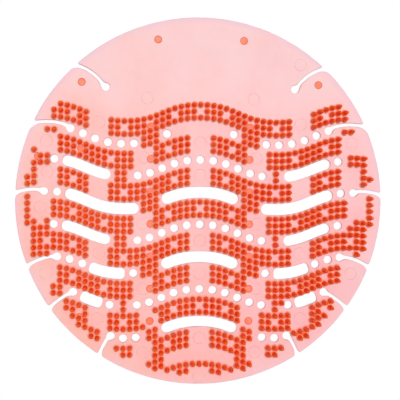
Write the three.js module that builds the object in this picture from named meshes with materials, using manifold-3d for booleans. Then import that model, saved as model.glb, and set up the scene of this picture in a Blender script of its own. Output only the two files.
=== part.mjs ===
// Urinal deodorizer screen: one soft EVA moulding. A round plate carries fields of
// cone pins on its upper side and short studs below. Round holes and long slots
// follow a set of wave lines, and keyhole slits let the rim bend into a bowl.
// Millimetres, +Z up, origin under the middle of the disc, on the plane of the stud feet.
import * as THREE from "three";
import { mergeVertices } from "three/addons/utils/BufferGeometryUtils.js";
import Module from "manifold-3d";

const wasm = await Module();
wasm.setup();

// Plate
const discDiameter = 185;
const plateThickness = 2;

// Studs on the underside
const studHeight = 2;
const studDiameter = 4;

// Pins on the upper side
const pinHeight = 8;
const pinDiameter = 2.7;
const pinCornerReach = 1.3; // the corners of a faceted pin stand out past the round one

// Wave lines
const waveLength = 76.4;
const waveHeight = 4.5;
const waveShoulder = 0.2; // third harmonic, which broadens the crests
const lineSpacing = 16.34;
const middleLine = 4;
const middleLineLevel = -16.1;

// Pin lattice
const columnPitch = 3.3; // measured along the wave
const rowsPerBand = 5;
const columnCount = 30;
const thinnedRow = 2;

// Openings
const holeDiameter = 4.1;
const slotWidth = 5.3;
const wideSlotWidth = 5.7;
const squareEnd = 1.6; // corner radius of the short slots
const slitWidth = 1.6;
const keyholeDiameter = 4.3;
const mouthFlare = 2.4; // how far the lower corner of a slit falls away at the rim
const mouthFlareSteps = 2; // last steps of a slit over which it does

// Faceting
const rimSides = 48;
const holeSides = 6;
const keyholeSides = 6;
const studSides = 5;
const pinSides = 3;
const slitSteps = 4;
const slotStep = 10;
const roundEndSteps = 2;
const squareEndSteps = 1;
const waveStep = 0.05;

const sunk = 0.3; // joined solids reach this far into the plate
const past = 1; // cutters reach this far past both faces
const discRadius = discDiameter / 2;
const pinRadius = pinDiameter / 2;
const studRadius = studDiameter / 2;
const plateBottom = studHeight;
const plateTop = plateBottom + plateThickness;

// Round holes on the wave lines, by their distance from the centre line
const holes = [
  { line: 1, both: [16.9, 33.5, 40, 46.6, 53, 59.1] },
  { line: 2, middle: [0], both: [6.6, 13, 19.2, 25.4, 31.5], left: [73.2], right: [70.4] },
  { line: 3, both: [71.8] },
  { line: 4, middle: [0], both: [6.6, 13, 19.2, 25.4, 31.5], left: [73.4], right: [70.4] },
  { line: 5, both: [33.5, 59, 65.4] },
  { line: 6, middle: [0], both: [6.6, 13, 19.2, 25.4, 31.5, 45.3] },
  { line: 7, both: [32, 38.4] },
];

// Slots along the wave lines, from end to end
const slots = [
  { line: 2, from: -69.3, to: -45.1 },
  { line: 2, from: 42.7, to: 66.3 },
  { line: 3, from: -67.9, to: -30.8, width: wideSlotWidth },
  { line: 3, from: -19.5, to: 19.5, width: wideSlotWidth },
  { line: 3, from: 31, to: 67.8, width: wideSlotWidth },
  { line: 4, from: -69.5, to: -45.1 },
  { line: 4, from: 42.6, to: 66.3 },
  { line: 5, from: -55.6, to: -37.7, width: wideSlotWidth, corner: squareEnd },
  { line: 5, from: -19.5, to: 19.5, width: wideSlotWidth },
  { line: 5, from: 37.7, to: 55.6, width: wideSlotWidth, corner: squareEnd },
  { line: 6, from: -59.9, to: -48.9, width: wideSlotWidth, corner: squareEnd },
  { line: 6, from: 48.7, to: 59.7, width: wideSlotWidth, corner: squareEnd },
  { line: 7, from: -19.1, to: 19.1 },
];

// Keyhole slits of the left half, which the right half mirrors: the centre of the round
// end, where the slit leaves it, the corner its curve is drawn to, and its mouth
const slits = [
  { end: [-47.8, 57], leaves: [-49, 58.2], bend: [-54.3, 65.6], mouth: [-63.6, 68.1] },
  { end: [-65.3, 36.1], leaves: [-66, 37.2], bend: [-73.5, 40.7], mouth: [-84.6, 38.6] },
  { end: [-78.3, 4.6], leaves: [-79.2, 5.2], bend: [-85.5, 6.1], mouth: [-93.1, 3.7] },
  { end: [-71.6, -28.2], leaves: [-72.6, -28], bend: [-79.5, -28.4], mouth: [-87.7, -33.6] },
  { end: [-63.5, -46], leaves: [-64.6, -46.3], bend: [-68.9, -48.2], mouth: [-76.2, -54.6] },
  { end: [-44.6, -68.2], leaves: [-45.8, -68.6], bend: [-48, -72], mouth: [-51, -78.8] },
];

// Pins: the five rows below each wave line, as runs of lattice columns. Columns are counted
// from the centre line, negative to the left. Row 2 leaves single columns out.
const bands = [
  {
    line: 0,
    rows: [
      [],
      [[-22, -18], [-14, 14], [18, 22]],
      [[-23, -18], [-14, 14], [18, 23]],
      [[-23, -18], [-14, 14], [18, 23]],
      [[-9, -7], [7, 9]],
    ],
    leftOut: [-20, -12, -8, -4, 0, 4, 8, 12, 20],
  },
  {
    line: 1,
    rows: [
      [[-24, -23], [-9, -7], [7, 9], [23, 24]],
      [[-22, -11], [-7, -2], [2, 7], [11, 22]],
      [[-22, -11], [-7, -2], [2, 7], [11, 22]],
      [[-26, -26], [-22, -11], [-7, -2], [2, 7], [11, 22]],
      [[-25, -24], [-13, -12], [12, 12], [24, 26]],
    ],
    leftOut: [-19, -14, -5, 5, 15, 20],
  },
  {
    line: 2,
    rows: [
      [[-26, -24], [-13, -12], [12, 12], [24, 26]],
      [[-26, -26], [-22, -18], [-14, -2], [2, 14], [18, 22], [26, 26]],
      [[-27, -26], [-22, -18], [-14, -2], [2, 14], [18, 22], [26, 27]],
      [[-27, -26], [-22, -18], [-14, -2], [2, 14], [18, 22], [26, 26]],
      [[-9, -7], [7, 9]],
    ],
    leftOut: [-20, -12, -8, -4, 4, 8, 12, 20],
  },
  {
    line: 3,
    rows: [
      [[-27, -27], [-9, -7], [7, 9], [27, 27]],
      [[-27, -27], [-23, -11], [-7, 7], [11, 23], [27, 27]],
      [[-27, -27], [-23, -11], [-7, 7], [11, 23], [27, 27]],
      [[-27, -27], [-23, -11], [-7, 7], [11, 23], [27, 27]],
      [[-27, -26], [-24, -24], [-13, -12], [12, 12], [25, 27]],
    ],
    leftOut: [-20, -15, -5, 0, 5, 15, 20],
  },
  {
    line: 4,
    rows: [
      [[-26, -24], [-13, -12], [12, 12], [24, 26]],
      [[-26, -18], [-14, -2], [2, 14], [18, 26]],
      [[-26, -18], [-14, -2], [2, 14], [18, 26]],
      [[-26, -18], [-14, -2], [2, 14], [18, 26]],
      [[-26, -24], [-9, -7], [7, 9], [25, 25]],
    ],
    leftOut: [-24, -20, -12, -8, -4, 4, 8, 12, 20, 24],
  },
  {
    line: 5,
    rows: [
      [[-9, -7], [7, 9]],
      [[-22, -11], [-7, -2], [2, 7], [11, 22]],
      [[-22, -11], [-7, -2], [2, 7], [11, 22]],
      [[-22, -11], [-7, -2], [2, 7], [11, 22]],
      [[-23, -22], [-12, -12], [12, 13]],
    ],
    leftOut: [-20, -15, -5, 5, 15, 20],
  },
  {
    line: 6,
    rows: [
      [[-23, -22], [-12, -12], [12, 12]],
      [[-21, -18], [-14, -10], [-7, 6], [10, 14], [18, 21]],
      [[-21, -18], [-14, -10], [-6, 6], [10, 14], [18, 21]],
      [[-20, -18], [-14, -9], [-6, 6], [10, 14], [18, 20]],
      [[-19, -16], [-8, -7], [7, 8], [15, 19]],
    ],
    leftOut: [-19, -12, -4, 0, 4, 12, 20],
  },
  {
    line: 7,
    rows: [
      [[-17, -16], [-8, -7], [7, 8], [15, 17]],
      [[-13, -11], [-7, -2], [2, 7], [11, 13]],
      [[-12, -11], [-7, -2], [2, 7], [11, 12]],
      [[-7, -2], [2, 7]],
      [[-8, -6], [6, 8]],
    ],
    leftOut: [-5, 5],
  },
  {
    line: 8,
    rows: [[[-7, -6], [6, 7]], [[-5, 5]], [[-3, 3]]],
    leftOut: [-1, 0, 1],
  },
];

// Studs: ranks beside the centre line, each a set height over the wave lines, and others
const studRanks = [
  { x: 25, over: 4.5, lines: [1, 2, 3, 4, 5, 6, 7] },
  { x: 59.9, over: 9.5, lines: [1, 2, 3, 4, 5, 6] },
];
const outerStuds = [[21.7, 81.1], [59.8, 59.3], [60.4, -58.6]];
const leftStud = [-81.3, 22];

// Level about which a wave line swings
function lineLevel(line) {
  return middleLineLevel + (middleLine - line) * lineSpacing;
}

function waveRise(x) {
  const turn = (2 * Math.PI * x) / waveLength;
  return waveHeight * Math.cos(turn) - waveShoulder * Math.cos(3 * turn);
}

function onLine(line, x) {
  return new THREE.Vector2(x, lineLevel(line) + waveRise(x));
}

function mirrored(point) {
  return new THREE.Vector2(-point.x, point.y);
}

// Distances of the lattice columns from the centre line: equal steps along the wave
function columnPlaces() {
  const places = [0];
  let walked = 0;
  for (let x = 0; places.length <= columnCount; x += waveStep) {
    walked += Math.hypot(waveStep, waveRise(x + waveStep) - waveRise(x));
    if (walked >= places.length * columnPitch) places.push(x + waveStep);
  }
  return places;
}

// Each opening is a path and how far the cut reaches from it
function holeOpenings() {
  const found = [];
  for (const { line, middle = [], both = [], left = [], right = [] } of holes) {
    const places = [...middle, ...both, ...right, ...[...both, ...left].map((x) => -x)];
    for (const x of places) {
      const centre = onLine(line, x);
      const outline = ring(centre, holeDiameter / 2, holeSides);
      found.push({ path: [centre], reach: holeDiameter / 2, outline });
    }
  }
  return found;
}

function slotOpenings() {
  return slots.map(({ line, from, to, width = slotWidth, corner = width / 2 }) => {
    const inner = to - from - 2 * corner;
    const steps = Math.max(1, Math.round(inner / slotStep));
    const path = [];
    for (let k = 0; k <= steps; k += 1) {
      path.push(onLine(line, from + corner + (inner * k) / steps));
    }
    const half = width / 2;
    const { right, left } = sides(path, () => half, () => half);
    const first = endCorners(path[0], path[1], half, corner);
    const last = endCorners(path[steps], path[steps - 1], half, corner);
    const outline = [...right, ...last, ...left.reverse(), ...first];
    return { path, reach: half, outline };
  });
}

function slitOpenings() {
  const found = [];
  for (const slit of slits) {
    const [end, leaves, bend, mouth] = [slit.end, slit.leaves, slit.bend, slit.mouth].map(
      ([x, y]) => new THREE.Vector2(x, y),
    );
    const path = new THREE.QuadraticBezierCurve(leaves, bend, mouth).getPoints(slitSteps);
    const lower = (k) => slitWidth / 2 + mouthFlare * flareShare(k) ** 2;
    const { right, left } = sides(path, () => slitWidth / 2, lower);
    const cut = { path, reach: slitWidth / 2, outline: [...right, ...left.reverse()] };
    const outline = ring(end, keyholeDiameter / 2, keyholeSides);
    const eye = { path: [end], reach: keyholeDiameter / 2, outline };
    for (const opening of [cut, eye]) {
      found.push(opening);
      found.push({
        path: opening.path.map(mirrored),
        reach: opening.reach,
        outline: opening.outline.map(mirrored),
      });
    }
  }
  return found;
}

function flareShare(k) {
  return Math.max(0, (k - slitSteps + mouthFlareSteps) / mouthFlareSteps);
}

function ring(centre, radius, sideCount) {
  const points = [];
  for (let k = 0; k < sideCount; k += 1) {
    const angle = (2 * Math.PI * k) / sideCount;
    const spoke = new THREE.Vector2(Math.cos(angle), Math.sin(angle));
    points.push(spoke.multiplyScalar(radius).add(centre));
  }
  return points;
}

// The two edges of a cut along a path, seen in the direction of travel
function sides(path, rightReach, leftReach) {
  const right = [];
  const left = [];
  path.forEach((point, k) => {
    const before = path[Math.max(k - 1, 0)];
    const after = path[Math.min(k + 1, path.length - 1)];
    const across = new THREE.Vector2(before.y - after.y, after.x - before.x).normalize();
    right.push(point.clone().addScaledVector(across, -rightReach(k)));
    left.push(point.clone().addScaledVector(across, leftReach(k)));
  });
  return { right, left };
}

// The rounded corners past the last point of a slot's path, from its right to its left
function endCorners(point, before, half, corner) {
  const along = point.clone().sub(before).normalize();
  const across = new THREE.Vector2(-along.y, along.x);
  const steps = corner < half ? squareEndSteps : roundEndSteps;
  const corners = [];
  for (const side of [-1, 1]) {
    const pivot = point.clone().addScaledVector(across, side * (half - corner));
    for (let k = 1; k <= steps; k += 1) {
      const turned = side < 0 ? k - steps : k - 1;
      const angle = (turned / steps) * (Math.PI / 2);
      const place = pivot.clone();
      place.addScaledVector(along, corner * Math.cos(angle));
      place.addScaledVector(across, corner * Math.sin(angle));
      const twice = corners.some((other) => other.distanceTo(place) < waveStep);
      if (!twice) corners.push(place);
    }
  }
  return corners;
}

// Distance from a point to a path
function distanceTo(path, point) {
  let nearest = point.distanceTo(path[0]);
  for (let k = 1; k < path.length; k += 1) {
    const edge = path[k].clone().sub(path[k - 1]);
    const share = point.clone().sub(path[k - 1]).dot(edge) / edge.lengthSq();
    const foot = path[k - 1].clone().addScaledVector(edge, THREE.MathUtils.clamp(share, 0, 1));
    nearest = Math.min(nearest, point.distanceTo(foot));
  }
  return nearest;
}

// A foot of this radius has plate under its middle and stays inside the rim
function standsOnPlate(point, footRadius, openings) {
  if (point.length() > discRadius - footRadius) return false;
  return openings.every(({ path, reach }) => distanceTo(path, point) > reach + footRadius / 2);
}

// Centres of the pins that the bands call for
function pinPlaces(openings) {
  const columns = columnPlaces();
  const rowPitch = lineSpacing / rowsPerBand;
  const places = [];
  for (const { line, rows, leftOut } of bands) {
    rows.forEach((runs, row) => {
      for (const [first, last] of runs) {
        for (let column = first; column <= last; column += 1) {
          if (row === thinnedRow && leftOut.includes(column)) continue;
          const place = onLine(line, Math.sign(column) * columns[Math.abs(column)]);
          place.y -= (row + 0.5) * rowPitch;
          if (standsOnPlate(place, pinRadius, openings)) places.push(place);
        }
      }
    });
  }
  return places;
}

function studPlaces(openings) {
  const right = outerStuds.map(([x, y]) => new THREE.Vector2(x, y));
  for (const { x, over, lines } of studRanks) {
    for (const line of lines) right.push(new THREE.Vector2(x, lineLevel(line) + over));
  }
  const places = [...right, ...right.map(mirrored), new THREE.Vector2(...leftStud)];
  return places.filter((place) => standsOnPlate(place, studRadius, openings));
}

// A closed geometry as a solid that can be cut and joined
function solidOf(geometry) {
  geometry.deleteAttribute("normal");
  geometry.deleteAttribute("uv");
  const merged = mergeVertices(geometry);
  return new wasm.Manifold(
    new wasm.Mesh({
      numProp: 3,
      vertProperties: merged.getAttribute("position").array,
      triVerts: new Uint32Array(merged.getIndex().array),
    }),
  );
}

function slabOf(outline, low, high) {
  const settings = { depth: high - low, bevelEnabled: false };
  const slab = new THREE.ExtrudeGeometry(new THREE.Shape(outline), settings);
  return solidOf(slab.translate(0, 0, low));
}

// A pin tapers to its tip, one corner of its foot towards +Y
function pinSolid(place) {
  const height = pinHeight + sunk;
  const cone = new THREE.ConeGeometry(pinRadius * pinCornerReach, height, pinSides);
  cone.rotateX(Math.PI / 2).rotateZ(Math.PI);
  return solidOf(cone.translate(place.x, place.y, plateTop - sunk + height / 2));
}

function studSolid(place) {
  const height = studHeight + sunk;
  const stud = new THREE.CylinderGeometry(studRadius, studRadius, height, studSides);
  stud.rotateX(Math.PI / 2);
  return solidOf(stud.translate(place.x, place.y, height / 2));
}

function screenSolid() {
  const openings = [...holeOpenings(), ...slotOpenings(), ...slitOpenings()];
  const disc = slabOf(ring(new THREE.Vector2(), discRadius, rimSides), plateBottom, plateTop);
  const cutters = openings.map(({ outline }) =>
    slabOf(outline, plateBottom - past, plateTop + past),
  );
  const plate = disc.subtract(wasm.Manifold.union(cutters));
  const pins = pinPlaces(openings).map(pinSolid);
  const studs = studPlaces(openings).map(studSolid);
  return wasm.Manifold.union([plate, ...pins, ...studs]);
}

function geometryOf(solid) {
  const { vertProperties, triVerts } = solid.getMesh();
  const geometry = new THREE.BufferGeometry();
  geometry.setAttribute("position", new THREE.BufferAttribute(vertProperties, 3));
  geometry.setIndex(new THREE.BufferAttribute(triVerts, 1));
  geometry.computeVertexNormals();
  return geometry;
}

const softEva = new THREE.MeshStandardMaterial({
  color: 0xf4856c,
  roughness: 0.45,
  metalness: 0,
  flatShading: true,
});

const screen = new THREE.Mesh(geometryOf(screenSolid()), softEva);
screen.name = "screen";

const group = new THREE.Group();
group.add(screen);

export default group;
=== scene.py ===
import math
import random

import bmesh
import bpy
from mathutils import Matrix, Vector


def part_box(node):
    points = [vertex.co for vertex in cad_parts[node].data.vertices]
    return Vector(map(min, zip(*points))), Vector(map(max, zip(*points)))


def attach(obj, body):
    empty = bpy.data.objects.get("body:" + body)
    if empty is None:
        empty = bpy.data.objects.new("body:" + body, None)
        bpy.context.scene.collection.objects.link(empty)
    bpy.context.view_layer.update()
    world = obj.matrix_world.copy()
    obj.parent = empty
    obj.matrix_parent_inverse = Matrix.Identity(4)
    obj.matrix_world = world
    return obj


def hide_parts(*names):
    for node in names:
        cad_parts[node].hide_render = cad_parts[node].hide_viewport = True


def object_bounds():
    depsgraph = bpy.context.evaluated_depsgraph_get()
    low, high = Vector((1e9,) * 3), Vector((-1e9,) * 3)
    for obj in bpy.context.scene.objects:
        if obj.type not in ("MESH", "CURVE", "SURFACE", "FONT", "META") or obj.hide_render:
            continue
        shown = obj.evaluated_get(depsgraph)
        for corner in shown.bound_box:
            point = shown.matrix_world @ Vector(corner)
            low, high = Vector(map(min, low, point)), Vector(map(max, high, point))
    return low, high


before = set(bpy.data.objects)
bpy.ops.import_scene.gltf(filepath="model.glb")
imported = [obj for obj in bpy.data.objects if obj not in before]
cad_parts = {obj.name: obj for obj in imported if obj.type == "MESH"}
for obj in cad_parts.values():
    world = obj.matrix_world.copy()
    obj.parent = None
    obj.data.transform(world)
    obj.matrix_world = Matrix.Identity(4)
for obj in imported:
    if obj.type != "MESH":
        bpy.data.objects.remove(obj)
cadLow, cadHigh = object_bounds()
print("frame loaded")

mm = 0.001
screenLow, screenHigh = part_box("screen")

# The wave lines that everything on the plate follows, in millimetres
wave = {
    "length": 76.4,
    "height": 4.5,
    "shoulder": 0.2,  # third harmonic, broadens the crests
    "spacing": 16.34,
    "middleLine": 4,
    "middleLevel": -16.1,
}


def lineLevel(line):
    return wave["middleLevel"] + (wave["middleLine"] - line) * wave["spacing"]


def waveRise(x):
    turn = 2 * math.pi * x / wave["length"]
    return wave["height"] * math.cos(turn) - wave["shoulder"] * math.cos(3 * turn)


def onLine(line, x):
    return Vector((x, lineLevel(line) + waveRise(x)))


def mirrored(point):
    return Vector((-point.x, point.y))


# Shader maths

class Value:
    def __init__(self, finish, socket):
        self.finish = finish
        self.socket = socket

    def combine(self, operation, first, second):
        settings = {"operation": operation}
        return self.finish.node("ShaderNodeMath", settings, {0: first, 1: second})

    def __add__(self, other):
        return self.combine("ADD", self, other)

    def __radd__(self, other):
        return self.combine("ADD", other, self)

    def __sub__(self, other):
        return self.combine("SUBTRACT", self, other)

    def __rsub__(self, other):
        return self.combine("SUBTRACT", other, self)

    def __mul__(self, other):
        return self.combine("MULTIPLY", self, other)

    def __rmul__(self, other):
        return self.combine("MULTIPLY", other, self)


class Finish:
    def __init__(self, name, roughness, **constants):
        self.material = bpy.data.materials.new(name)
        self.material.use_nodes = True
        self.tree = self.material.node_tree
        self.surface = self.tree.nodes["Principled BSDF"]
        self.feed(self.surface.inputs["Roughness"], roughness)
        for socket, number in constants.items():
            self.surface.inputs[socket.replace("_", " ")].default_value = number

    def feed(self, socket, value):
        if isinstance(value, Value):
            self.tree.links.new(value.socket, socket)
        else:
            socket.default_value = value

    def node(self, kind, settings=None, values=None, output=0):
        made = self.tree.nodes.new(kind)
        for name, setting in (settings or {}).items():
            setattr(made, name, setting)
        for key, value in (values or {}).items():
            self.feed(made.inputs[key], value)
        return Value(self, made.outputs[output])

    def place(self):  # where on the piece, in metres
        return self.node("ShaderNodeTexCoord", output="Object")

    def across(self, axis):
        return self.node("ShaderNodeSeparateXYZ", values={0: self.place()}, output=axis)

    def fromAxis(self):  # distance from the middle of the disc
        flat = self.node("ShaderNodeVectorMath", {"operation": "MULTIPLY"}, {0: self.place(), 1: (1, 1, 0)})
        return self.node("ShaderNodeVectorMath", {"operation": "LENGTH"}, {0: flat}, output="Value")

    def cloud(self, size, detail=3.0, rough=0.5):  # soft noise with lumps of this size
        values = {"Vector": self.place(), "Scale": 1 / size, "Detail": detail, "Roughness": rough}
        return self.node("ShaderNodeTexNoise", values=values, output="Fac")

    def ramp(self, value, low, high):  # 0 below low, 1 above high
        settings = {"interpolation_type": "SMOOTHSTEP"}
        values = {"Value": value, "From Min": low, "From Max": high}
        return self.node("ShaderNodeMapRange", settings, values)

    def mix(self, share, first, second):
        values = {"Factor": share, 6: first, 7: second}
        return self.node("ShaderNodeMix", {"data_type": "RGBA"}, values, output=2)

    def bump(self, height, depth):
        values = {"Height": height, "Distance": depth, "Strength": 1.0}
        self.feed(self.surface.inputs["Normal"], self.node("ShaderNodeBump", values=values))

    def colour(self, value):
        self.feed(self.surface.inputs["Base Color"], value)


def paint(red, green, blue):
    def linear(level):
        share = level / 255
        return share / 12.92 if share <= 0.04045 else ((share + 0.055) / 1.055) ** 2.4

    return (linear(red), linear(green), linear(blue), 1.0)


plateColours = {
    "pale": paint(232, 191, 192),  # at the top of the disc
    "deep": paint(231, 176, 180),  # at its lower rim
    "warm": paint(231, 173, 161),  # the same on its left
    "rim": paint(222, 184, 196),  # lilac of the thinner rim
    "rimWidth": 3.4 * mm,
    "rimShare": 0.8,
    "cloudSize": 24 * mm,
    "cloudShare": 1.1,
    "downShare": 0.4,  # how much deeper it gets towards its lower rim
    "reach": (0.35, 1.15),  # sums at which it is fully pale and fully deep
    "edge": paint(232, 192, 200),
    "edgeDeep": paint(222, 166, 172),
    "edgeCloud": 9 * mm,
    "grainSize": 0.7 * mm,
    "grainDepth": 0.02 * mm,
}
patches = (0.35, 0.65)  # noise levels between which one tint gives way to the other


def plateFinish():
    finish = Finish("softPlate", 0.5, Subsurface_Weight=0.15, Subsurface_Scale=0.002, Specular_IOR_Level=0.3)
    lumps = finish.cloud(plateColours["cloudSize"], detail=4.0, rough=0.6)
    down = 1 - finish.ramp(finish.across("Y"), screenLow[1], screenHigh[1])
    left = 1 - finish.ramp(finish.across("X"), screenLow[0], screenHigh[0])
    depth = down * plateColours["downShare"] + lumps * plateColours["cloudShare"]
    share = finish.ramp(depth, *plateColours["reach"])
    deep = finish.mix(left, plateColours["deep"], plateColours["warm"])
    face = finish.mix(share, plateColours["pale"], deep)
    rim = finish.ramp(finish.fromAxis(), screenHigh[0] - plateColours["rimWidth"], screenHigh[0] - 1 * mm)
    rimShare = rim * (1 - share) * plateColours["rimShare"]
    finish.colour(finish.mix(rimShare, face, plateColours["rim"]))
    finish.bump(finish.cloud(plateColours["grainSize"]), plateColours["grainDepth"])
    return finish.material


def edgeFinish():
    finish = Finish("plateEdge", 0.5, Subsurface_Weight=0.1, Subsurface_Scale=0.002, Specular_IOR_Level=0.3)
    share = finish.ramp(finish.cloud(plateColours["edgeCloud"]), *patches)
    finish.colour(finish.mix(share, plateColours["edge"], plateColours["edgeDeep"]))
    finish.bump(finish.cloud(plateColours["grainSize"]), plateColours["grainDepth"])
    return finish.material


pinColours = {
    "paintedGlowEdge": paint(255, 192, 172),  # painted glow: the plate beside a pin, warmed by its light
    "foot": paint(255, 172, 138),  # painted glow where the pin runs out into the plate
    "root": paint(232, 78, 28),
    # painted highlight: the tip colour is lighter than the root
    "tip": paint(244, 92, 32),
    "shade": paint(236, 56, 10),
    "shadeShare": 0.6,
    "shadeReach": (0.45, 0.75),
    "cloudSize": 16 * mm,
    "glow": paint(86, 32, 8),  # light that comes up through the plate
    "dim": paint(20, 3, 0),
    "sheen": paint(255, 190, 150),
    "paintedGlowEdgeReach": (0.02 * mm, 0.1 * mm),  # heights over the plate from one colour to the next
    "paintedGlowFootReach": (0.09 * mm, 0.22 * mm),
    "tipHighlightReach": (2.5 * mm, 7.7 * mm),
    "glowReach": (7 * mm, 1 * mm),
    "grainSize": 0.5 * mm,
    "grainDepth": 0.015 * mm,
}


def pinFinish():
    finish = Finish("softPin", 0.45, Subsurface_Weight=0.2, Subsurface_Scale=0.0015, Specular_IOR_Level=0.14,
                    Specular_Tint=pinColours["sheen"], Emission_Strength=1.0)
    rise = finish.across("Z") - plateTop * mm
    # painted highlight: the pin's colour gets lighter from root to tip
    tipHighlightShare = finish.ramp(rise, *pinColours["tipHighlightReach"])
    body = finish.mix(tipHighlightShare, pinColours["root"], pinColours["tip"])
    shade = finish.ramp(finish.cloud(pinColours["cloudSize"]), *pinColours["shadeReach"])
    body = finish.mix(shade * pinColours["shadeShare"], body, pinColours["shade"])
    glow = finish.ramp(rise, *pinColours["glowReach"])
    light = finish.mix(glow, pinColours["dim"], pinColours["glow"])
    finish.feed(finish.surface.inputs["Emission Color"], light)
    # painted glow: the plate beside each pin and the pin's foot are coloured warmer, standing in for light
    # that passes through the plastic
    glowEdgeShare = finish.ramp(rise, *pinColours["paintedGlowEdgeReach"])
    low = finish.mix(glowEdgeShare, pinColours["paintedGlowEdge"], pinColours["foot"])
    finish.colour(finish.mix(finish.ramp(rise, *pinColours["paintedGlowFootReach"]), low, body))
    finish.bump(finish.cloud(pinColours["grainSize"]), pinColours["grainDepth"])
    return finish.material


showColours = {
    "disc": paint(238, 114, 67),
    "ring": paint(196, 78, 54),
    "foot": paint(240, 148, 118),
    "mark": paint(206, 150, 150),
    "cloudSize": 3 * mm,
}


def flatFinish(name, first, second):
    finish = Finish(name, 0.5, Specular_IOR_Level=0.3)
    share = finish.ramp(finish.cloud(showColours["cloudSize"]), *patches)
    finish.colour(finish.mix(share, first, second))
    finish.bump(finish.cloud(plateColours["grainSize"]), plateColours["grainDepth"])
    return finish.material


def blended(first, second, share):
    return tuple(a + (b - a) * share for a, b in zip(first, second))


# Plate: a flat outline with its openings, filled, thickened and rounded at its edges

plateSize = {
    "radius": (screenHigh[0] - screenLow[0]) / 2 / mm,
    "studHeight": 2.0,
    "thickness": 2.0,
    "edgeRound": 0.3,
    "edgeSteps": 2,
    "outlineStep": 0.42,
    "softening": 4,
}
plateBottom = screenLow[2] / mm + plateSize["studHeight"]
plateTop = plateBottom + plateSize["thickness"]

holeSet = {
    "diameter": 4.1,
    "sides": 30,
    "both": {
        1: (16.9, 33.5, 40, 46.6, 53, 59.1),
        2: (6.6, 13, 19.2, 25.4, 31.5),
        3: (71.8,),
        4: (6.6, 13, 19.2, 25.4, 31.5),
        5: (33.5, 59, 65.4),
        6: (6.6, 13, 19.2, 25.4, 31.5, 45.3),
        7: (32, 38.4),
    },
    "single": {2: (-73.2, 0, 70.4), 4: (-73.4, 0, 70.4), 6: (0,)},
}

slotSet = {
    "width": 5.3,
    "wideWidth": 5.7,
    "wideLines": (3, 5, 6),
    "step": 0.8,
    "squareCorner": 2.0,
    "round": {
        2: ((-69.3, -45.1), (42.7, 66.3)),
        3: ((-67.9, -30.8), (-19.5, 19.5), (31, 67.8)),
        4: ((-69.5, -45.1), (42.6, 66.3)),
        5: ((-19.5, 19.5),),
        7: ((-19.1, 19.1),),
    },
    "square": {5: ((-55.6, -37.7), (37.7, 55.6)), 6: ((-59.9, -48.9), (48.7, 59.7))},
}

slitSet = {
    "width": 1.6,
    "eyeDiameter": 4.3,
    "neck": 2.2,  # how far the lower side widens into the round end
    "flare": 0.9,  # how far the lower corner falls away at the rim
    "flareLength": 3.2,
    "steps": 60,
    "stepsPast": 8,  # beyond the rim
    "eyeSteps": 24,
    "left": (  # round end, where the slit leaves it, bend, mouth
        ((-47.8, 57), (-49, 58.2), (-54.3, 65.6), (-63.6, 68.1)),
        ((-65.3, 36.1), (-66, 37.2), (-73.5, 40.7), (-84.6, 38.6)),
        ((-78.3, 4.6), (-79.2, 5.2), (-85.5, 6.1), (-93.1, 3.7)),
        ((-71.6, -28.2), (-72.6, -28), (-79.5, -28.4), (-87.7, -33.6)),
        ((-63.5, -46), (-64.6, -46.3), (-68.9, -48.2), (-76.2, -54.6)),
        ((-44.6, -68.2), (-45.8, -68.6), (-48, -72), (-51, -78.8)),
    ),
}


def ring(centre, radius, sides):
    turns = [2 * math.pi * k / sides for k in range(sides)]
    return [centre + radius * Vector((math.cos(a), math.sin(a))) for a in turns]


def edgesOf(path, rightReach, leftReach):
    right, left = [], []
    for k, point in enumerate(path):
        along = path[min(k + 1, len(path) - 1)] - path[max(k - 1, 0)]
        across = Vector((-along.y, along.x)).normalized()
        right.append(point - across * rightReach(k))
        left.append(point + across * leftReach(k))
    return right, left


def endCorners(point, before, half, corner, steps=6):
    along = (point - before).normalized()
    across = Vector((-along.y, along.x))
    corners = []
    for side in (-1, 1):
        pivot = point + across * side * (half - corner)
        for k in range(steps + 1):
            angle = (k / steps - (side < 0)) * math.pi / 2
            corners.append(pivot + corner * (along * math.cos(angle) + across * math.sin(angle)))
    return corners


def slotOutline(line, start, stop, square):
    half = slotSet["wideWidth" if line in slotSet["wideLines"] else "width"] / 2
    corner = slotSet["squareCorner"] if square else half
    inner = stop - start - 2 * corner
    count = max(2, round(inner / slotSet["step"]))
    path = [onLine(line, start + corner + inner * k / count) for k in range(count + 1)]
    right, left = edgesOf(path, lambda k: half, lambda k: half)
    last = endCorners(path[-1], path[-2], half, corner)
    first = endCorners(path[0], path[1], half, corner)
    return right[1:-1] + last + left[::-1][1:-1] + first


def slitCurve(leaves, bend, mouth):
    points = []
    for k in range(slitSet["steps"] + slitSet["stepsPast"] + 1):
        t = k / slitSet["steps"]
        points.append((1 - t) ** 2 * leaves + 2 * t * (1 - t) * bend + t * t * mouth)
    return points


def slitReaches(path, eye):  # the plain upper side, and the lower one, rounded at both ends
    half = slitSet["width"] / 2

    def lower(k):
        inside = plateSize["radius"] - path[k].length
        flare = slitSet["flare"] * max(0, 1 - inside / slitSet["flareLength"]) ** 2
        neck = max(0, 1 - (path[k] - eye).length / (slitSet["eyeDiameter"] / 2 + slitSet["neck"]))
        return half + flare + neck ** 2 * slitSet["neck"]

    return (lambda k: half), lower


def slitEdges():  # each slit's eye and its two edges, once on the left and once mirrored
    found = []
    for corners in slitSet["left"]:
        eye, leaves, bend, mouth = [Vector(corner) for corner in corners]
        path = slitCurve(leaves, bend, mouth)
        plain, lower = slitReaches(path, eye)
        found.append((eye, *edgesOf(path, plain, lower)))
        path = [mirrored(point) for point in path]
        plain, lower = slitReaches(path, mirrored(eye))
        found.append((mirrored(eye), *edgesOf(path, lower, plain)))
    return found


def turnOf(point):
    return math.atan2(point.y, point.x) % (2 * math.pi)


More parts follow.
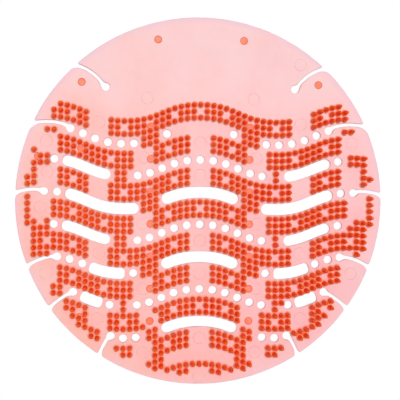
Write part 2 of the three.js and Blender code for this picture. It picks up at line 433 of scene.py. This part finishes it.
def rimOutline():  # anticlockwise round the rim, in and out of every slit
    radius = plateSize["radius"]
    eyeRadius = slitSet["eyeDiameter"] / 2
    cuts = []
    for eye, right, left in slitEdges():
        kept = []
        for edge in (right, left):
            inside = [p for p in edge if p.length < radius and (p - eye).length > eyeRadius]
            kept.append(inside)
        cuts.append((eye, *kept))
    cuts.sort(key=lambda cut: turnOf(cut[1][-1]))
    outline = []
    for k, (eye, right, left) in enumerate(cuts):
        outline += right[::-1]
        start, stop = turnOf(right[0] - eye), turnOf(left[0] - eye)
        sweep = (start - stop) % (2 * math.pi)
        for step in range(1, slitSet["eyeSteps"]):
            angle = start - sweep * step / slitSet["eyeSteps"]
            outline.append(eye + eyeRadius * Vector((math.cos(angle), math.sin(angle))))
        outline += left
        start = turnOf(left[-1])
        stop = turnOf(cuts[(k + 1) % len(cuts)][1][-1])
        sweep = (stop - start) % (2 * math.pi)
        count = max(2, round(radius * sweep / plateSize["outlineStep"]))
        for step in range(1, count):
            angle = start + sweep * step / count
            outline.append(radius * Vector((math.cos(angle), math.sin(angle))))
    return outline


def evenly(points, step):  # the same closed outline with points at equal steps
    closed = points + points[:1]
    lengths = [(b - a).length for a, b in zip(closed, closed[1:])]
    count = round(sum(lengths) / step)
    wanted = sum(lengths) / count
    spaced, walked, k = [], 0.0, 0
    for index in range(count):
        target = index * wanted
        while walked + lengths[k] < target:
            walked += lengths[k]
            k += 1
        share = (target - walked) / lengths[k] if lengths[k] else 0
        spaced.append(closed[k].lerp(closed[k + 1], share))
    return spaced


def softened(points, passes):  # rounds the corners of a closed outline
    for _ in range(passes):
        before, after = points[-1:] + points[:-1], points[1:] + points[:1]
        points = [p * 0.5 + (a + b) * 0.25 for a, p, b in zip(before, points, after)]
    return points


def outlines():
    step = plateSize["outlineStep"]
    found = [softened(evenly(rimOutline(), step), plateSize["softening"])]
    for source in ("both", "single"):
        for line, places in holeSet[source].items():
            for x in places:
                for side in ((1, -1) if source == "both" else (1,)):
                    centre = onLine(line, side * x)
                    found.append(ring(centre, holeSet["diameter"] / 2, holeSet["sides"]))
    for kind in ("round", "square"):
        for line, spans in slotSet[kind].items():
            for start, stop in spans:
                found.append(evenly(slotOutline(line, start, stop, kind == "square"), step))
    return found


def meshObject(name, mesh, *materials):
    piece = bpy.data.objects.new(name, mesh)
    bpy.context.scene.collection.objects.link(piece)
    for material in materials:
        mesh.materials.append(material)
    return piece


def plateMesh():
    curve = bpy.data.curves.new("plateOutline", "CURVE")
    curve.dimensions = "2D"
    curve.fill_mode = "BOTH"
    curve.bevel_depth = plateSize["edgeRound"]
    curve.bevel_resolution = plateSize["edgeSteps"]
    curve.offset = -plateSize["edgeRound"]
    curve.extrude = plateSize["thickness"] / 2 - plateSize["edgeRound"]
    for outline in outlines():
        spline = curve.splines.new("POLY")
        spline.points.add(len(outline) - 1)
        for place, point in zip(spline.points, outline):
            place.co = (point.x, point.y, 0, 1)
        spline.use_cyclic_u = True
    holder = bpy.data.objects.new("plateOutline", curve)
    bpy.context.scene.collection.objects.link(holder)
    mesh = bpy.data.meshes.new_from_object(holder.evaluated_get(bpy.context.evaluated_depsgraph_get()))
    bpy.data.objects.remove(holder)
    return mesh


def makePlate():
    mesh = plateMesh()
    bm = bmesh.new()
    bm.from_mesh(mesh)
    bmesh.ops.translate(bm, verts=bm.verts, vec=(0, 0, (plateBottom + plateTop) / 2))
    bmesh.ops.remove_doubles(bm, verts=bm.verts, dist=0.002)
    bmesh.ops.recalc_face_normals(bm, faces=bm.faces)
    for face in bm.faces:
        wall = abs(face.normal.z) < 0.99
        face.smooth = wall
        face.material_index = int(wall)
    bmesh.ops.scale(bm, vec=(mm, mm, mm), verts=bm.verts)
    bm.to_mesh(mesh)
    bm.free()
    mesh.name = "plate"
    return meshObject("plate", mesh, plateFinish(), edgeFinish())


# Pins: one turned template, copied to every place of the lattice

pinSize = {
    "columnPitch": 3.3,  # along the wave
    "rowsPerBand": 5,
    "thinnedRow": 2,
    "columns": 30,
    "sides": 12,
    "lean": math.radians(1.2),
    "shorter": 0.02,
    "profile": (  # radius and height over the plate, from the foot on the underside to the tip
        (1.2, -2.06),
        (1.6, -0.05),
        (1.84, 0.02),
        (1.36, 0.09),
        (1.28, 0.24),
        (1.08, 4.2),
        (0.84, 7.1),
        (0.5, 7.82),
        (0.0, 8.0),
    ),
    "footRadius": 1.42,
}

# Runs of columns in the five rows below each wave line, and columns left out of row 2
pinBands = {
    0: (
        ((), ((-22, -18), (-14, 14), (18, 22)), ((-23, -18), (-14, 14), (18, 23)),
         ((-23, -18), (-14, 14), (18, 23)), ((-9, -7), (7, 9))),
        (-20, -12, -8, -4, 0, 4, 8, 12, 20),
    ),
    1: (
        (((-24, -23), (-9, -7), (7, 9), (23, 24)), ((-22, -11), (-7, -2), (2, 7), (11, 22)),
         ((-22, -11), (-7, -2), (2, 7), (11, 22)),
         ((-26, -26), (-22, -11), (-7, -2), (2, 7), (11, 22)),
         ((-25, -24), (-13, -12), (12, 12), (24, 26))),
        (-19, -14, -5, 5, 15, 20),
    ),
    2: (
        (((-26, -24), (-13, -12), (12, 12), (24, 26)),
         ((-26, -26), (-22, -18), (-14, -2), (2, 14), (18, 22), (26, 26)),
         ((-27, -26), (-22, -18), (-14, -2), (2, 14), (18, 22), (26, 27)),
         ((-27, -26), (-22, -18), (-14, -2), (2, 14), (18, 22), (26, 26)),
         ((-9, -7), (7, 9))),
        (-20, -12, -8, -4, 4, 8, 12, 20),
    ),
    3: (
        (((-27, -27), (-9, -7), (7, 9), (27, 27)),
         ((-27, -27), (-23, -11), (-7, 7), (11, 23), (27, 27)),
         ((-27, -27), (-23, -11), (-7, 7), (11, 23), (27, 27)),
         ((-27, -27), (-23, -11), (-7, 7), (11, 23), (27, 27)),
         ((-27, -26), (-24, -24), (-13, -12), (12, 12), (25, 27))),
        (-20, -15, -5, 0, 5, 15, 20),
    ),
    4: (
        (((-26, -24), (-13, -12), (12, 12), (24, 26)),
         ((-26, -18), (-14, -2), (2, 14), (18, 26)), ((-26, -18), (-14, -2), (2, 14), (18, 26)),
         ((-26, -18), (-14, -2), (2, 14), (18, 26)), ((-26, -24), (-9, -7), (7, 9), (25, 25))),
        (-24, -20, -12, -8, -4, 4, 8, 12, 20, 24),
    ),
    5: (
        (((-9, -7), (7, 9)), ((-22, -11), (-7, -2), (2, 7), (11, 22)),
         ((-22, -11), (-7, -2), (2, 7), (11, 22)), ((-22, -11), (-7, -2), (2, 7), (11, 22)),
         ((-23, -22), (-12, -12), (12, 13))),
        (-20, -15, -5, 5, 15, 20),
    ),
    6: (
        (((-23, -22), (-12, -12), (12, 12)),
         ((-21, -18), (-14, -10), (-7, 6), (10, 14), (18, 21)),
         ((-21, -18), (-14, -10), (-6, 6), (10, 14), (18, 21)),
         ((-20, -18), (-14, -9), (-6, 6), (10, 14), (18, 20)),
         ((-19, -16), (-8, -7), (7, 8), (15, 19))),
        (-19, -12, -4, 0, 4, 12, 20),
    ),
    7: (
        (((-17, -16), (-8, -7), (7, 8), (16, 17)), ((-13, -11), (-7, -2), (2, 7), (11, 13)),
         ((-12, -11), (-7, -2), (2, 7), (11, 12)), ((-7, -2), (2, 7)), ((-8, -6), (6, 8))),
        (-5, 5),
    ),
    8: ((((-7, -6), (6, 7)), ((-5, 5),), ((-3, 3),)), (-1, 0, 1)),
}


def columnPlaces():  # equal steps along the wave, as distances from the centre line
    step = 0.05
    places, walked, x = [0.0], 0.0, 0.0
    while len(places) <= pinSize["columns"]:
        walked += math.hypot(step, waveRise(x + step) - waveRise(x))
        x += step
        if walked >= len(places) * pinSize["columnPitch"]:
            places.append(x)
    return places


def pinPlaces():
    columns = columnPlaces()
    rowPitch = wave["spacing"] / pinSize["rowsPerBand"]
    places = []
    for line, (rows, leftOut) in pinBands.items():
        for row, runs in enumerate(rows):
            for first, last in runs:
                for column in range(first, last + 1):
                    if row == pinSize["thinnedRow"] and column in leftOut:
                        continue
                    x = math.copysign(columns[abs(column)], column)
                    places.append(onLine(line, x) - Vector((0, (row + 0.5) * rowPitch)))
    radius = plateSize["radius"] - pinSize["footRadius"]
    return [place for place in places if place.length < radius]


def turned(bm, profile, sides):  # spins a profile of radius and height about Z
    verts = [bm.verts.new((radius, 0, height)) for radius, height in profile]
    edges = [bm.edges.new(pair) for pair in zip(verts, verts[1:])]
    bmesh.ops.spin(bm, geom=verts + edges, cent=(0, 0, 0), axis=(0, 0, 1),
                   angle=2 * math.pi, steps=sides, use_merge=True, use_duplicate=False)
    bmesh.ops.remove_doubles(bm, verts=bm.verts, dist=0.001)


def repeated(name, template, moves):  # one mesh with a copy of the template at every move
    source = bpy.data.meshes.new(name + "One")
    template.to_mesh(source)
    template.free()
    bm = bmesh.new()
    for move in moves:
        one = source.copy()
        one.transform(Matrix.Scale(mm, 4) @ move)
        bm.from_mesh(one)
        bpy.data.meshes.remove(one)
    bpy.data.meshes.remove(source)
    mesh = bpy.data.meshes.new(name)
    bm.to_mesh(mesh)
    bm.free()
    return mesh


def pinMoves():  # every pin leans a little its own way
    rng = random.Random(11)
    moves = []
    for place in pinPlaces():
        turn, lean = rng.uniform(0, 2 * math.pi), math.tan(rng.uniform(0, pinSize["lean"]))
        slant = Matrix.Identity(4)
        slant[0][2], slant[1][2] = lean * math.cos(turn), lean * math.sin(turn)
        slant[2][2] = 1 - rng.uniform(0, pinSize["shorter"])
        moves.append(Matrix.Translation((place.x, place.y, plateTop)) @ slant)
    return moves


def makePins():
    bm = bmesh.new()
    turned(bm, pinSize["profile"], pinSize["sides"])
    rims = [edge for edge in bm.edges if edge.is_boundary]
    bmesh.ops.holes_fill(bm, edges=rims, sides=0)
    bmesh.ops.recalc_face_normals(bm, faces=bm.faces)
    for face in bm.faces:
        face.smooth = face.normal.z > -0.9
        face.material_index = int(face.normal.z < -0.9)
    mesh = repeated("pins", bm, pinMoves())
    footShade = blended(showColours["foot"], plateColours["deep"], 0.4)
    showing = flatFinish("pinFoot", showColours["foot"], footShade)
    return meshObject("pins", mesh, pinFinish(), showing)


# Studs on the underside, which show through the plate as ringed discs

studSize = {
    "radius": 2.0,
    "sides": 28,
    "proud": 0.02,
    "ringWidth": 0.38,
    "footRound": 0.35,
    "fillet": 0.15,  # where it meets the plate
    "ranks": ((25.0, 4.5, (1, 2, 3, 4, 5, 6, 7)), (59.9, 9.5, (1, 2, 3, 4, 5, 6))),
    "outer": ((21.7, 81.1), (59.8, 59.3), (60.4, -58.6)),
    "left": (-81.3, 22),
}


def studPlaces():
    right = [Vector(place) for place in studSize["outer"]]
    for x, over, lines in studSize["ranks"]:
        right += [Vector((x, lineLevel(line) + over)) for line in lines]
    return right + [mirrored(place) for place in right] + [Vector(studSize["left"])]


def makeStuds():
    radius, top = studSize["radius"], plateTop + studSize["proud"]
    soft, fillet = studSize["footRound"], studSize["fillet"]
    mid = 0.3 * soft
    profile = (
        (0, 0), (radius - soft, 0), (radius - mid, mid), (radius, soft),
        (radius, plateBottom - 2 * fillet), (radius + fillet, plateBottom), (radius, plateBottom + fillet),
        (radius, top), (radius - studSize["ringWidth"], top), (0, top),
    )
    bm = bmesh.new()
    turned(bm, profile, studSize["sides"])
    bmesh.ops.recalc_face_normals(bm, faces=bm.faces)
    for face in bm.faces:
        onTop = face.calc_center_median().z > top - 0.001
        outward = face.calc_center_median().xy.length
        face.smooth = not onTop
        if onTop:
            face.material_index = 2 if outward > radius - studSize["ringWidth"] else 1
    mesh = repeated("studs", bm, [Matrix.Translation((*place, 0)) for place in studPlaces()])
    under = flatFinish("softStud", pinColours["root"], blended(pinColours["root"], showColours["disc"], 0.6))
    discShade = blended(showColours["disc"], plateColours["pale"], 0.15)
    disc = flatFinish("studThroughPlate", showColours["disc"], discShade)
    ringShade = blended(showColours["ring"], showColours["disc"], 0.3)
    rim = flatFinish("studOutline", showColours["ring"], ringShade)
    return meshObject("studs", mesh, under, disc, rim)


# Faint round marks of the mould's ejector pins

markSize = {
    "radius": 3.1,
    "width": 0.28,
    "proud": 0.012,
    "sunk": 0.1,
    "sides": 40,
    "pairs": ((51, 39.3), (28.6, 21.8), (26.9, 51.6), (77.2, 29.8), (29, -11.4), (77.3, -36.6),
              (50.8, -26.3), (51.4, -59.4), (28.4, -76.5), (28.6, -44.3)),
    "single": ((0, 29.4), (0, 13.2), (0, -20), (0, -36.6), (-76.7, 14.2), (-80.1, -3.5),
               (0, -69.2), (0, -88.8), (50.7, 69.4)),
}


def makeMarks():
    bm = bmesh.new()
    radius, width = markSize["radius"], markSize["width"]
    low, top = plateTop - markSize["sunk"], plateTop + markSize["proud"]
    profile = ((radius, low), (radius, top), (radius - width, top), (radius - width, low), (radius, low))
    turned(bm, profile, markSize["sides"])
    bmesh.ops.recalc_face_normals(bm, faces=bm.faces)
    pairs = [Vector(place) for place in markSize["pairs"]]
    singles = [Vector(place) for place in markSize["single"]]
    places = pairs + [mirrored(place) for place in pairs] + singles
    mesh = repeated("mouldMarks", bm, [Matrix.Translation((*place, 0)) for place in places])
    mark = flatFinish("mouldMark", showColours["mark"], plateColours["deep"])
    return meshObject("mouldMarks", mesh, mark)


pieces = [makePlate(), makePins(), makeStuds(), makeMarks()]
for piece in pieces:
    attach(piece, "root")
    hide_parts("screen")
    print(piece.name, len(piece.data.polygons), "faces")


# Floor, background and light

studio = {
    "floorHalf": 1.5,
    "floorGap": 0.0002,
    "floorShare": 0.06,  # how much of the floor's own shade shows
    "skyLight": 0.36,
    "sunLight": 2.5,
    "sunTurn": (math.radians(-6), math.radians(3), 0),
    "sunSoftness": math.radians(12),
}


def makeFloor():
    bm = bmesh.new()
    bmesh.ops.create_grid(bm, x_segments=1, y_segments=1, size=studio["floorHalf"])
    bmesh.ops.translate(bm, verts=bm.verts, vec=(0, 0, cadLow[2] - studio["floorGap"]))
    mesh = bpy.data.meshes.new("floor")
    bm.to_mesh(mesh)
    bm.free()
    finish = Finish("paleFloor", 0.9)
    finish.surface.inputs["Base Color"].default_value = paint(250, 250, 250)
    tree = finish.tree
    glow = tree.nodes.new("ShaderNodeEmission")
    mixer = tree.nodes.new("ShaderNodeMixShader")
    rays = tree.nodes.new("ShaderNodeLightPath")
    seen = Value(finish, rays.outputs["Is Camera Ray"])
    mirror = Value(finish, rays.outputs["Is Glossy Ray"])
    through = Value(finish, rays.outputs["Is Transmission Ray"])
    finish.feed(mixer.inputs[0], (seen + mirror + through) * (1 - studio["floorShare"]))
    tree.links.new(finish.surface.outputs[0], mixer.inputs[1])
    tree.links.new(glow.outputs[0], mixer.inputs[2])
    tree.links.new(mixer.outputs[0], tree.nodes["Material Output"].inputs["Surface"])
    floor = meshObject("floor", mesh, finish.material)


def makeSky():
    world = bpy.data.worlds.new("whiteRoom")
    bpy.context.scene.world = world
    world.use_nodes = True
    tree = world.node_tree
    plain = tree.nodes["Background"]
    plain.inputs["Color"].default_value = (1, 1, 1, 1)
    plain.inputs["Strength"].default_value = studio["skyLight"]
    white = tree.nodes.new("ShaderNodeBackground")
    white.inputs["Color"].default_value = (1, 1, 1, 1)
    white.inputs["Strength"].default_value = 1.0
    mixer = tree.nodes.new("ShaderNodeMixShader")
    rays = tree.nodes.new("ShaderNodeLightPath")
    tree.links.new(rays.outputs["Is Camera Ray"], mixer.inputs[0])
    tree.links.new(plain.outputs[0], mixer.inputs[1])
    tree.links.new(white.outputs[0], mixer.inputs[2])
    tree.links.new(mixer.outputs[0], tree.nodes["World Output"].inputs["Surface"])


def makeSun():
    lamp = bpy.data.lights.new("softSun", "SUN")
    lamp.energy = studio["sunLight"]
    lamp.angle = studio["sunSoftness"]
    sun = bpy.data.objects.new("softSun", lamp)
    sun.rotation_euler = studio["sunTurn"]
    bpy.context.scene.collection.objects.link(sun)


# Camera over the left of the disc, tilted towards its middle

view = {
    "place": Vector((-36.5, 8.2, 529)) * mm,
    "target": Vector((-0.05, 0.57, 4)) * mm,
    "roll": math.radians(0.43),
    "across": 202.0 * mm,  # width of the picture at the plate
    "sensor": 36.0,
}


def makeCamera():
    data = bpy.data.cameras.new("camera")
    camera = bpy.data.objects.new("camera", data)
    bpy.context.scene.collection.objects.link(camera)
    ahead = (view["target"] - view["place"]).normalized()
    right = ahead.cross(Vector((0, 1, 0))).normalized()
    up = right.cross(ahead)
    facing = Matrix((right, up, -ahead)).transposed()
    facing = Matrix.Rotation(view["roll"], 3, -ahead) @ facing
    camera.matrix_world = Matrix.Translation(view["place"]) @ facing.to_4x4()
    data.sensor_width = view["sensor"]
    data.lens = view["sensor"] * (view["target"] - view["place"]).length / view["across"]
    data.clip_start, data.clip_end = 0.01, 10
    bpy.context.scene.camera = camera


makeFloor()
makeSky()
makeSun()
makeCamera()
bpy.context.scene.view_settings.view_transform = "Standard"
print("studio made")
